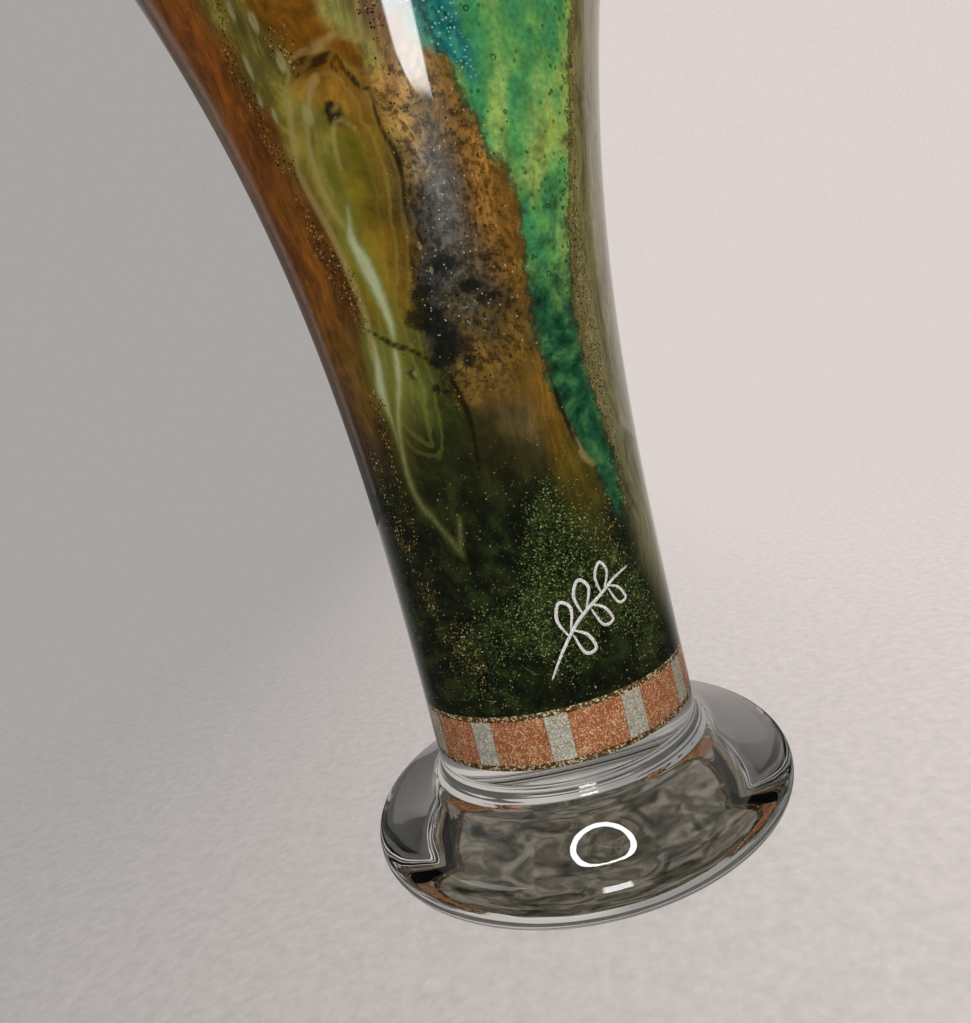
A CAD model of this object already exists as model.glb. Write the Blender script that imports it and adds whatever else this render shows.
# %% [markdown]
# # A hand blown art glass vase
#
# The vase is made hot, in layers. A small clear bubble is rolled over chips and powders of coloured glass,
# which melt into one thin painted skin. A belt of metal leaf goes on at the bottom. Then everything is dipped
# in clear glass, blown out to a trumpet, and stuck on to a solid clear foot.
#
# This lesson builds those layers in the same order. The CAD frame gives every size. We replace its plain
# solids with surfaces worked out by numpy, because glass shows each facet of a coarse mesh.

# %% Load the frame
import math

import bpy
import numpy as np
from mathutils import Matrix, Vector


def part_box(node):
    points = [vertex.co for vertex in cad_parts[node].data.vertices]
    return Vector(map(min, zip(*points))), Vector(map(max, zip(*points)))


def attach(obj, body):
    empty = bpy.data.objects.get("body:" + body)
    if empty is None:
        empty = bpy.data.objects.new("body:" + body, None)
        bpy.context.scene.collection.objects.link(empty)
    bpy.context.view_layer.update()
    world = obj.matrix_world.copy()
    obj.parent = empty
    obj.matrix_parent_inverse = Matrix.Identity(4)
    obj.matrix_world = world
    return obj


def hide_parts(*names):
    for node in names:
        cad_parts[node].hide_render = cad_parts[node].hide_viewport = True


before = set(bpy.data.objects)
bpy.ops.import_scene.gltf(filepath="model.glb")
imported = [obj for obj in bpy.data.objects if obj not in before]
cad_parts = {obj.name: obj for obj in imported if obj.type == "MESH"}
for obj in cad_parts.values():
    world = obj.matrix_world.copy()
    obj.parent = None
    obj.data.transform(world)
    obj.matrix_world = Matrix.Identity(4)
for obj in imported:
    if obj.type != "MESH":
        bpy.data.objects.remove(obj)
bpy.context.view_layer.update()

# %% [markdown]
# ## Small tools
#
# A few helpers carry the whole script. One turns the hex colours that designers write into the linear numbers
# that Cycles wants. One class holds the shader nodes of a material, and its values can be added and multiplied
# like numbers. The last ones turn arrays into meshes.

# %% Colour and node helpers
MM = 0.001
WHITE = (1.0, 1.0, 1.0, 1.0)


def linear(code):
    """Linear RGBA of an sRGB hex colour: each channel goes through the sRGB curve, and alpha is 1."""
    srgb = np.array([int(code[i:i + 2], 16) for i in (1, 3, 5)]) / 255
    rgb = np.where(srgb <= 0.04045, srgb / 12.92, ((srgb + 0.055) / 1.055) ** 2.4)
    return (*map(float, rgb), 1.0)


class Value:
    """A socket of a shader node, to reckon with like a number: each sign lays down the math node of its kind."""

    def __init__(self, shader, socket):
        self.shader, self.socket = shader, socket

    def math(self, kind, *others):
        return self.shader.add("Math", dict(enumerate((self, *others))), operation=kind)

    def __add__(self, other):
        return self.math("ADD", other)

    def __sub__(self, other):
        return self.math("SUBTRACT", other)

    def __rsub__(self, other):
        return self.math("MULTIPLY_ADD", -1.0, other)

    def __mul__(self, other):
        return self.math("MULTIPLY", other)


class Shader:
    """The nodes of one new material. Sizes of patterns are in millimetres."""

    def __init__(self, name):
        self.material = bpy.data.materials.new(name)
        self.material.use_nodes = True
        self.tree = self.material.node_tree
        self.tree.nodes.clear()
        self.place = self.add("TexCoord", output="Object")

    def node(self, kind, inputs=None, **settings):
        """Adds a shader node. settings are its own properties, and inputs are values or links for its sockets."""
        made = self.tree.nodes.new("ShaderNode" + kind)
        for name, value in settings.items():
            setattr(made, name, value)
        for name, value in (inputs or {}).items():
            value = getattr(value, "socket", value)
            if isinstance(value, bpy.types.NodeSocket):
                self.tree.links.new(value, made.inputs[name])
            else:
                made.inputs[name].default_value = value
        return made

    def add(self, kind, inputs=None, output=0, **settings):
        """Adds a node and gives one of its outputs."""
        return Value(self, self.node(kind, inputs, **settings).outputs[output])

    def noise(self, size, detail=2.0, vector=None, rough=0.5, output="Fac", distortion=0.0):
        return self.add("TexNoise", {"Vector": vector or self.place, "Scale": 1 / (size * MM), "Detail": detail,
                                     "Roughness": rough, "Distortion": distortion}, output)

    def grains(self, size):
        """Cells laid at random: the distance to the nearest one's middle, and its own three random numbers."""
        made = self.node("TexVoronoi", {"Vector": self.place, "Scale": 1 / (size * MM), "Randomness": 1.0})
        random = self.node("SeparateColor", {0: made.outputs["Color"]})
        return [Value(self, socket) for socket in (made.outputs["Distance"], *random.outputs)]

    def steps(self, value, low, high, to_low=0.0, to_high=1.0, kind="SMOOTHSTEP"):
        """Smooth step of a value between two limits, or an even one with the kind LINEAR."""
        return self.add("MapRange", {"Value": value, "From Min": low, "From Max": high, "To Min": to_low,
                                     "To Max": to_high}, interpolation_type=kind)

    def ramp(self, value, *stops):
        """Colours along a value, given as (position, hex)."""
        made = self.node("ValToRGB", {0: value})
        keys = made.color_ramp.elements
        while len(keys) < len(stops):
            keys.new(0.5)
        for key, (position, code) in zip(keys, stops):
            key.position = position
            key.color = linear(code)
        return Value(self, made.outputs[0])

    def over(self, under, top, mask):
        """One colour laid over another where the mask is one. Either can be a hex colour."""
        under, top = (linear(colour) if isinstance(colour, str) else colour for colour in (under, top))
        return self.add("Mix", {0: mask, 6: under, 7: top}, 2, data_type="RGBA")

    def vector(self, kind, *operands, output=0):
        return self.add("VectorMath", dict(enumerate(operands)), output, operation=kind)

    def scale(self, vector, factor):
        return self.add("VectorMath", {0: vector, "Scale": factor}, operation="SCALE")

    def field(self, name, output="Fac"):
        return self.add("Attribute", output=output, attribute_name=name)

    def solid(self, colour, roughness, **more):
        """Principled shader of a colour. more holds its other inputs, with _ for each space in their names."""
        inputs = {name.replace("_", " "): value for name, value in more.items()}
        return self.add("BsdfPrincipled", {"Base Color": colour, "Roughness": roughness, **inputs})

    def clear(self, colour=WHITE):
        return self.add("BsdfTransparent", {"Color": colour})

    def glow(self, colour, strength):
        return self.add("Emission", {"Color": colour, "Strength": strength})

    def surface(self, first, second=None, share=0.0):
        """Ends the nodes in one shader, or in two mixed by the second one's share, and gives the material."""
        both = first if second is None else self.add("MixShader", {0: share, 1: first, 2: second})
        self.node("OutputMaterial", {"Surface": both})
        return self.material


# %% Mesh helpers
def put_mesh(name, points, faces, materials, slots=None, crease=None):
    """One piece from its points and faces. Faces turn outwards, by the sign of the volume that they enclose:
    the sum over faces of the corner triple product."""
    points = np.asarray(points, float).reshape(-1, 3)
    quads = np.asarray(faces, int)
    a, b, c = (points[quads[:, k]] for k in (0, 1, 2))
    volume = np.einsum("ij,ij->", a, np.cross(b, c))
    if quads.shape[1] == 4:
        volume += np.einsum("ij,ij->", a, np.cross(c, points[quads[:, 3]]))
    if volume < 0:
        quads = quads[:, ::-1]
    # A quad whose last corner repeats another is a triangle at a pole
    rows = [tuple(dict.fromkeys(row)) for row in quads.tolist()]
    mesh = bpy.data.meshes.new(name)
    mesh.from_pydata(points.tolist(), [], rows)
    for material in materials:
        mesh.materials.append(material)
    if slots is not None:
        mesh.polygons.foreach_set("material_index", np.asarray(slots, np.int32))
    mesh.polygons.foreach_set("use_smooth", np.ones(len(rows), bool))
    if crease is not None:
        mesh.set_sharp_from_angle(angle=math.radians(crease))
    mesh.validate()
    mesh.update()
    piece = bpy.data.objects.new(name, mesh)
    bpy.context.scene.collection.objects.link(piece)
    return piece


def grid_faces(rows, columns, close_rows=False, close_columns=True):
    """Quads of a grid of points numbered row by row, closed round on itself in either direction."""
    i = np.arange(rows if close_rows else rows - 1)[:, None]
    j = np.arange(columns if close_columns else columns - 1)[None, :]
    up, on = (i + 1) % rows, (j + 1) % columns
    corners = (i * columns + j, i * columns + on, up * columns + on, up * columns + j)
    return np.stack([np.broadcast_to(c, (i.size, j.size)).ravel() for c in corners], axis=1)


def full_turn(count):
    """Even steps once round, in radians."""
    return np.arange(count) * 2 * math.pi / count


def around(radius, angle, z):
    """Points at an angle from the front towards +X: x = r sin(angle), y = -r cos(angle)."""
    radius, angle, z = np.broadcast_arrays(radius, angle, z)
    return np.stack([radius * np.sin(angle), -radius * np.cos(angle), z], axis=-1)


def spin(name, r, z, materials, slots=None, turns=288, closed=False, wobble=None, crease=40):
    """Turns a profile about the axis. A profile that starts or ends on the axis closes there with a pole. slots
    gives each profile span its material, wobble moves the radius, and turns is a count of even steps or the
    angles themselves."""
    r, z = np.asarray(r, float), np.asarray(z, float)
    angle = full_turn(turns) if np.isscalar(turns) else turns
    turns = len(angle)
    radius = r[:, None] + np.zeros(turns)
    if wobble is not None:
        radius = radius + wobble(angle[None, :], z[:, None]) * (r[:, None] > 1e-6)
    points = around(radius, angle, z[:, None]).reshape(-1, 3)
    faces = grid_faces(len(r), turns, close_rows=closed)
    # Every point of a row that lies on the axis is the same point, so its numbers fall together
    number = np.arange(len(points))
    for row in np.flatnonzero(r <= 1e-6):
        number[row * turns:(row + 1) * turns] = row * turns
    used, packed = np.unique(number, return_inverse=True)
    spans = None if slots is None else np.repeat(np.asarray(slots), turns)
    return put_mesh(name, points[used], packed[faces], materials, spans, crease)


# %% [markdown]
# ## The layers of the wall
#
# The outside of the body is a cylinder that opens in a power curve: the radius grows from the neck to the mouth
# with the height above the start of the flare, raised to a power. Each deeper layer is the same curve moved
# inwards, square to the wall. We read the belt and the foot from the frame, and check the curve against it.

# %% Sizes
foot_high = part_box("foot")[1]
casing_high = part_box("outer_casing")[1]
trail_low, trail_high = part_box("lower_trail")
upper_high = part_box("upper_trail")[1]

FOOT_TOP = foot_high.z
FOOT_RADIUS = foot_high.x
BELT_BOTTOM = trail_low.z
BELT_TOP = upper_high.z
VASE_TOP = casing_high.z
BELT_OUTSIDE = trail_high.x

NECK_RADIUS = 37.6 * MM
MOUTH_RADIUS = 89.0 * MM
FLARE_START = 60.0 * MM
FLARE_POWER = 2.55
CASING = (3.0 * MM, 1.8 * MM)
COLOUR = (1.4 * MM, 0.9 * MM)
LINING = (2.2 * MM, 1.5 * MM)
WELL_FLOOR = 48.0 * MM
WELL_CORNER = 10.0 * MM
COLOUR_STOPS = 3.0 * MM
BELT_INSIDE = BELT_OUTSIDE - COLOUR[0]
HAIR = 0.02 * MM


def share(z):
    """How far up the flare a height is: 0 at its start and 1 at the mouth."""
    return np.clip((z - FLARE_START) / (VASE_TOP - FLARE_START), 0, None)


def body_radius(z):
    """Outside radius: the neck's, plus the growth to the mouth times the share to the flare's power."""
    return NECK_RADIUS + (MOUTH_RADIUS - NECK_RADIUS) * share(z) ** FLARE_POWER


def lean(z):
    """Lean of the wall from upright: the arc tangent of the radius's slope."""
    slope = (MOUTH_RADIUS - NECK_RADIUS) * FLARE_POWER * share(z) ** (FLARE_POWER - 1)
    return np.arctan(slope / (VASE_TOP - FLARE_START))


def depth_at(z, *layers):
    """Depth under the outside: the layers' thicknesses added up, each thinning evenly towards the lip."""
    return sum(neck + (lip - neck) * share(z) for neck, lip in layers)


def layer(z, *layers, extra=0.0):
    """Radius and height of the surface under these layers, square to the wall from outside height z."""
    z = np.asarray(z, float)
    depth = depth_at(z, *layers) + extra
    return body_radius(z) - depth * np.cos(lean(z)), z + depth * np.sin(lean(z))


def lip_height():
    """Outside height where the round lip starts: the top, less half the wall times one plus the lean's sine."""
    z = VASE_TOP
    for _ in range(6):
        half = float(depth_at(z, CASING, COLOUR, LINING)) / 2
        z = VASE_TOP - half * (1 + math.sin(float(lean(z))))
    return z


LIP = lip_height()
COLOUR_END = LIP - COLOUR_STOPS

casing_points = np.array([v.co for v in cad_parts["outer_casing"].data.vertices])
outermost = np.hypot(casing_points[:, 0], casing_points[:, 1])
proud = (outermost - body_radius(casing_points[:, 2])).max()
print(f"lip starts at {LIP / MM:.1f} mm; CAD wall stands {proud / MM:.3f} mm proud of the curve")

# %% [markdown]
# ## Clear glass
#
# Soda-lime glass has an IOR of 1.52 and takes a fire polish, so its roughness is zero. Where two gathers are
# fused there is no surface at all: light goes straight on. Those faces get a second material, a joint that is
# fully transparent. Lamps cannot find their way through a refracting surface, so for shadow rays and for light
# bouncing off the colour the glass steps aside and only dims them a little.

# %% Clear glass materials
def clear_glass(name, tint="#f4f8f6", ripple=0.0):
    """Fire-polished soda-lime glass. ripple is the height of its slow hand-made waves, in metres."""
    s = Shader(name)
    more = {"Normal": s.add("Bump", {"Height": s.noise(14, 1.0), "Distance": ripple})} if ripple else {}
    glass = s.solid(linear(tint), 0.0, IOR=1.52, Transmission_Weight=1.0, **more)
    path = s.node("LightPath").outputs
    aside = Value(s, path["Is Shadow Ray"]).math("MAXIMUM", path["Is Diffuse Ray"])
    return s.surface(glass, s.clear(linear("#eef3f1")), aside)


def fused_joint():
    """The place where two clear gathers melted into one: nothing bends or mirrors there."""
    s = Shader("fused_glass_joint")
    return s.surface(s.clear())


FOOT_GLASS = clear_glass("fire_polished_foot_glass", tint="#e4e8e5", ripple=0.10 * MM)
CASING_GLASS = clear_glass("fire_polished_casing_glass", ripple=0.03 * MM)
LINING_GLASS = clear_glass("blown_lining_glass")
JOINT = fused_joint()

# %% [markdown]
# ## The clear foot
#
# The foot is a blob of clear glass, pressed flat underneath and pulled in to the neck with wet jacks. The jacks
# leave faint rings on the sweep. The profile goes from the ground pontil dish out along the standing ring,
# round the rim, up the shoulder and round the sweep, and closes at the joint with the body.

# %% Build the foot
RIM = 7.2 * MM
SHOULDER = math.radians(20)
PONTIL_RADIUS, PONTIL_DEPTH = 18.0 * MM, 1.2 * MM


def arc_points(centre, radius, start, end, count):
    """Points round a circle from one angle to another: centre plus radius times (cos, sin)."""
    t = np.linspace(math.radians(start), math.radians(end), count)
    return centre[0] + radius * np.cos(t), centre[1] + radius * np.sin(t)


def foot_profile():
    """Radius and height round the foot. The sweep's circle touches the shoulder and stands upright at the neck."""
    rim = (FOOT_RADIUS - RIM, RIM)
    out = np.array([math.sin(SHOULDER), math.cos(SHOULDER)])
    rim_end = np.array(rim) + out * RIM
    sweep = float(np.dot(np.array([NECK_RADIUS, FOOT_TOP]) - rim_end, out)) / (1 - math.sin(SHOULDER))
    centre = (NECK_RADIUS + sweep, FOOT_TOP)
    dish_r = np.linspace(0, PONTIL_RADIUS, 14)
    dish_z = PONTIL_DEPTH * (1 - (dish_r / PONTIL_RADIUS) ** 2)
    flat_r = np.linspace(PONTIL_RADIUS, rim[0], 14)[1:-1]
    rim_r, rim_z = arc_points(rim, RIM, -90, 70, 48)
    sweep_r, sweep_z = arc_points(centre, sweep, 250, 180, 40)
    shoulder = np.linspace(rim_end, [sweep_r[0], sweep_z[0]], 18)[1:-1]
    top_r = np.linspace(NECK_RADIUS, 0, 12)[1:]
    r = np.concatenate([dish_r, flat_r, rim_r, shoulder[:, 0], sweep_r, top_r])
    z = np.concatenate([dish_z, 0 * flat_r, rim_z, shoulder[:, 1], sweep_z, 0 * top_r + FOOT_TOP])
    return r, z, len(top_r)


def jack_rings(angle, z):
    """Rings that the jacks leave near the neck: a fine wave up the sweep that fades out below it, a little
    stronger on one side than on the other."""
    near = np.clip((z - 17 * MM) / (6 * MM), 0, 1) * np.clip((FOOT_TOP - z) / (0.6 * MM), 0, 1)
    drift = z / MM * 5.2 + 0.5 * np.sin(angle)
    return 0.05 * MM * near * np.sin(drift) * (0.7 + 0.3 * np.cos(angle - 0.8)) - 0.05 * MM * near


foot_r, foot_z, joint_spans = foot_profile()
foot_slots = np.zeros(len(foot_r) - 1, int)
foot_slots[-joint_spans:] = 1
foot = spin("clear_foot", foot_r, foot_z, [FOOT_GLASS, JOINT], foot_slots, wobble=jack_rings)
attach(foot, "root")
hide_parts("foot")
print("foot:", len(foot.data.polygons), "faces")

# %% [markdown]
# ## Clear casing and lining
#
# The casing is the last gather of clear glass, outside the colour. The lining is the first bubble, inside it.
# They meet above the end of the colour and make the round lip between them. Only the skin that air touches
# refracts; the faces against the colour, the belt, the foot and each other are fused joints.

# %% Build the casing and the lining
WALL_ROWS = 190


def lip_round(count):
    """Half circle over the lip, from the outside to the inside, round the middle of the wall."""
    half = float(depth_at(LIP, CASING, COLOUR, LINING)) / 2
    tilt = float(lean(LIP))
    middle = np.array([body_radius(LIP) - half * math.cos(tilt), LIP + half * math.sin(tilt)])
    t = np.linspace(0, math.pi, count)
    across = np.array([math.cos(tilt), -math.sin(tilt)])
    up = np.array([math.sin(tilt), math.cos(tilt)])
    points = middle + half * (np.cos(t)[:, None] * across + np.sin(t)[:, None] * up)
    return points[:, 0], points[:, 1], t, half


lip_r, lip_z, lip_t, lip_half = lip_round(33)
seam_depth = float(depth_at(LIP, CASING)) + float(depth_at(LIP, COLOUR)) / 2
seam = int(np.searchsorted(lip_half * (1 - np.cos(lip_t)), seam_depth))
wall_z = FLARE_START + (LIP - FLARE_START) * np.linspace(0, 1, WALL_ROWS)
inner_z = FLARE_START + (COLOUR_END - FLARE_START) * np.linspace(0, 1, WALL_ROWS)


def hand_wave(angle, z):
    """Slow unevenness of a blown wall: two waves round and up it, a few hundredths of a millimetre high,
    always inwards, and none at the joint with the foot."""
    rise = np.clip((z - FOOT_TOP) / (20 * MM), 0, 1)
    wave = np.sin(3 * angle + z / (23 * MM)) + np.sin(2 * angle - z / (31 * MM) + 1.3)
    return 0.03 * MM * rise * (wave - 2)


body_r, body_z = body_radius(wall_z), wall_z
low_z = np.linspace(FOOT_TOP, FLARE_START, 24)[:-1]
case_in_r, case_in_z = layer(inner_z, CASING, extra=-HAIR)
joint_r, joint_z = layer(np.array([COLOUR_END]), CASING, extra=float(depth_at(COLOUR_END, COLOUR)) / 2)
casing_r = np.concatenate([[0], [NECK_RADIUS / 2], 0 * low_z + NECK_RADIUS, body_r, lip_r[1:seam + 1], joint_r,
                           case_in_r[::-1], [BELT_OUTSIDE + HAIR], [BELT_OUTSIDE / 2], [0]])
casing_z = np.concatenate([[FOOT_TOP] * 2, low_z, body_z, lip_z[1:seam + 1], joint_z,
                           case_in_z[::-1], [BELT_BOTTOM - HAIR] * 3])
casing_slots = np.ones(len(casing_r) - 1, int)
casing_slots[2:2 + len(low_z) + len(body_r) + seam - 1] = 0
casing = spin("clear_casing", casing_r, casing_z, [CASING_GLASS, JOINT], casing_slots, wobble=hand_wave)
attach(casing, "root")
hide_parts("outer_casing")

line_out_r, line_out_z = layer(inner_z, CASING, COLOUR, extra=HAIR)
well_r, well_z = layer(wall_z, CASING, COLOUR, LINING)
corner_r, corner_z = arc_points((well_r[0] - WELL_CORNER, WELL_FLOOR + WELL_CORNER), WELL_CORNER, 0, -90, 20)
lining_r = np.concatenate([[0, BELT_INSIDE / 2, BELT_INSIDE - HAIR], line_out_r, joint_r, lip_r[seam:],
                           well_r[-2::-1], corner_r, [corner_r[-1] / 2, 0]])
lining_z = np.concatenate([[BELT_TOP + HAIR] * 3, line_out_z, joint_z, lip_z[seam:], well_z[-2::-1],
                           corner_z, [WELL_FLOOR] * 2])
lining_slots = np.zeros(len(lining_r) - 1, int)
lining_slots[:2 + len(line_out_r) + 1] = 1
lining = spin("clear_lining", lining_r, lining_z, [LINING_GLASS, JOINT], lining_slots)
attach(lining, "root")
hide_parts("inner_bubble")
print("casing:", len(casing.data.polygons), "faces; lining:", len(lining.data.polygons), "faces")

# %% [markdown]
# ## The painted skin of coloured glass
#
# The maker lays chips, powders and pulled threads of coloured glass on the hot bubble, and they melt edge to
# edge. We keep that logic. Each patch is an outline of hand-placed points, given as an angle round the vase and
# a height above the belt. For every point of the skin we work out its distance to each outline, positive
# inside, and store it as an attribute. The shader then decides where one colour gives way to the next, and
# frays each border with noise, which no modelled edge could do.

# %% Patches of colour
VEINS = [
    [(-26.5, 125.3, 0.8), (-27.9, 121.4, 1.8), (-29.0, 118.4, 3.0), (-27.6, 113.1, 4.2), (-26.4, 107.7, 3.8),
     (-25.4, 101.1, 2.8), (-25.5, 96.5, 2.0), (-26.5, 93.9, 1.4), (-27.2, 90.5, 2.4), (-29.4, 84.9, 2.2),
     (-34.6, 76.7, 1.3), (-37.7, 66.4, 1.2), (-36.9, 58.0, 1.2), (-31.2, 51.4, 1.1), (-24.9, 44.1, 1.0),
     (-23.0, 41.4, 0.6)],
    [(-34.2, 96.5, 1.2), (-35.6, 90.8, 3.0), (-37.9, 85.1, 3.6), (-37.8, 81.3, 2.4), (-37.6, 76.4, 1.0),
     (-37.4, 71.4, 0.8)],
    [(-20.5, 51.0, 0.6), (-23.5, 43.5, 0.9)],
    [(152, 170, 3.0), (144, 152, 3.5), (150, 132, 4.5), (161, 114, 5.0), (166, 96, 3.5), (160, 78, 2.6),
     (165, 58, 1.8)],
    [(262, 150, 1.0), (257, 132, 3.2), (260, 112, 4.0), (268, 92, 2.0), (266, 70, 1.0)],
]
# The petal's side, from its foot up, as its outline and as a thin line of honey glass
PETAL_SIDE = [(-40.5, 84), (-36.6, 92.9), (-34.6, 98.7), (-34.0, 103.8), (-34.5, 110.4), (-34.9, 115.5),
              (-36.2, 122.6), (-38.1, 129.6), (-38.8, 135.9), (-36.4, 142.0), (-32.7, 148.4)]
OUTLINES = {
    "teal": [
        [(-14, 205), (-6, 172), (5, 152), (18, 142), (16, 156), (10, 180), (0, 210)],
        [(172, 214), (176, 178), (188, 152), (200, 136), (204, 160), (200, 190), (202, 222)],
    ],
    "green": [
        [(-4, 206), (6, 164), (14, 138), (25, 118), (23, 96), (26, 73), (37, 54), (45, 40),
         (49, 54), (44, 70), (41, 92), (46, 116), (52, 146), (57, 184), (56, 212), (26, 230)],
        [(196, 226), (188, 190), (196, 150), (204, 112), (200, 84), (210, 58), (221, 78),
         (226, 112), (232, 150), (240, 188), (236, 222)],
    ],
    "smoke": [[(1, 140), (7, 139), (9, 128), (7, 114), (10, 100), (6, 92), (-4, 88), (-12, 92),
               (-13, 102), (-7, 110), (-4, 124)]],
    "petal": [
        [(-24.0, 154.0), (-14.5, 152.0), (-9.5, 143.0), (-7.6, 128.0), (-11.0, 112.0), (-16.0, 100.0),
         (-15.5, 84.0), (-20.0, 66.0), (-33.0, 70.0), *PETAL_SIDE],
        [(252, 198), (248, 160), (252, 120), (262, 84), (272, 98), (276, 136), (280, 178), (270, 206)],
    ],
    "side": [[(56, 16), (53, 44), (50, 70), (47, 94), (52, 122), (57, 150), (63, 190), (72, 219), (90, 216),
              (102, 178), (100, 118), (96, 68), (90, 24), (72, 8)]],
}

# %% Powders and dust
# Top edge of the dark glass: (share of the radius across the front, height above the belt)
DARK_EDGE = [(-1.27, 62), (-0.81, 65), (-0.23, 60), (0.23, 54), (0.58, 41), (0.84, 24), (1.0, 11), (1.27, 13)]
# Powders under the patches: (angle, height above the belt, reach round and up in millimetres, colour)
POWDERS = [
    (-60, 185, 9, 34, "#8c4f1a"), (-64, 142, 7, 24, "#7e4212"), (-56, 112, 6, 14, "#7c4a16"),
    (-50, 92, 6, 9, "#7a5a22"), (-60, 78, 7, 14, "#4a3a2e"), (-56, 44, 10, 22, "#282420"),
    (-36, 176, 7, 18, "#746a2c"), (-34, 160, 4, 8, "#5e5426"), (-22, 176, 7, 16, "#74480f"),
    (-9, 172, 2.5, 20, "#8f8a48"),
    (-3, 172, 4, 18, "#5a4230"), (3, 166, 4, 14, "#8a6a48"), (-46, 150, 3, 12, "#6a3a14"),
    (-42, 118, 4, 18, "#5e3a18"), (-40, 70, 5, 16, "#352e16"), (-47, 128, 3, 8, "#7e4a16"),
    (-22, 149, 4, 4, "#8e6420"), (-12, 148, 5, 4, "#8a6028"), (-35, 136, 3, 8, "#8c7a34"),
    (-31, 134, 3, 12, "#7c7430"), (-24, 133, 3, 9, "#6a5e16"), (-18, 128, 3, 6, "#5e4e14"),
    (-15, 134, 3, 8, "#80601e"), (-24, 114, 2.5, 8, "#8a6e1c"), (-20, 108, 3, 8, "#856418"),
    (-15, 112, 3, 8, "#6c4e18"), (-19, 98, 3.5, 5, "#745a14"),
    (-22, 88, 5, 8, "#4e5020"), (-20, 72, 6, 9, "#2a3014"), (-30, 86, 3, 7, "#6a6c30"),
    (-6, 146, 4, 6, "#a67c42"), (0, 138, 4, 6, "#a8844c"), (4, 122, 4, 10, "#585450"), (-8, 128, 4, 8, "#5e4a22"),
    (-5, 116, 4, 5, "#3c3c3a"), (-2, 104, 5, 6, "#383838"), (7, 110, 4, 8, "#5c4828"), (-8, 92, 4, 5, "#24241c"),
    (13, 138, 4, 8, "#8e6a34"), (14, 122, 4, 10, "#8a602a"), (19, 104, 4, 12, "#6e4e1c"), (1, 92, 5, 6, "#4a3c22"),
    (10, 90, 5, 6, "#5c4620"), (0, 80, 5, 4, "#6c5022"), (12, 80, 5, 4, "#6c5220"), (21, 76, 4, 5, "#76541c"),
    (8, 72, 6, 5, "#5a4a2c"), (24, 64, 4, 8, "#6c5216"), (30, 50, 4, 8, "#5a4c18"), (4, 62, 8, 6, "#443a1e"),
    (-8, 60, 8, 8, "#23240f"), (8, 40, 12, 16, "#1c220f"), (44, 24, 10, 18, "#1c2014"),
    (60, 140, 7, 60, "#7e7240"), (68, 56, 8, 40, "#605c48"), (84, 120, 12, 60, "#66604c"),
    (106, 150, 10, 50, "#7c5a28"), (120, 70, 12, 30, "#55401f"), (124, 170, 9, 40, "#8a5420"),
    (150, 150, 9, 26, "#7c6e2c"), (158, 110, 8, 22, "#665e20"), (152, 70, 10, 20, "#38371a"),
    (178, 120, 10, 26, "#7d5c2c"), (184, 70, 10, 22, "#40382a"), (176, 190, 12, 30, "#7a6a4c"),
    (216, 60, 14, 24, "#2c3420"), (242, 130, 10, 40, "#7e5c26"), (258, 110, 8, 30, "#665e20"),
    (268, 160, 9, 40, "#7a6e2c"), (286, 120, 9, 40, "#7e4e20"), (282, 60, 12, 24, "#3c3222"),
    (180, 22, 60, 14, "#10140c"), (-5, 224, 22, 16, "#8a6a34"), (-50, 232, 20, 16, "#845022"),
    (-95, 226, 20, 20, "#7a6e30"), (45, 240, 20, 14, "#6a6a30"), (90, 232, 22, 18, "#8c6230"),
    (135, 240, 22, 14, "#7c7434"), (180, 232, 20, 18, "#8e5a28"), (225, 238, 22, 14, "#6c6a34"),
]
# Clouds of green dust in the dark glass, and the gold flakes at its left: (angle, height, reach)
DUST = [(20, 50, 7, 11), (13, 28, 9, 8), (40, 24, 6, 14), (-8, 16, 16, 7), (150, 30, 20, 12), (240, 26, 20, 12)]
GOLD = [(-46, 32, 2.5, 4), (-39, 22, 4, 3), (-31, 14, 3, 4), (-52, 48, 2.5, 6), (-55, 66, 2.0, 6), (205, 30, 6, 8)]

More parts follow.
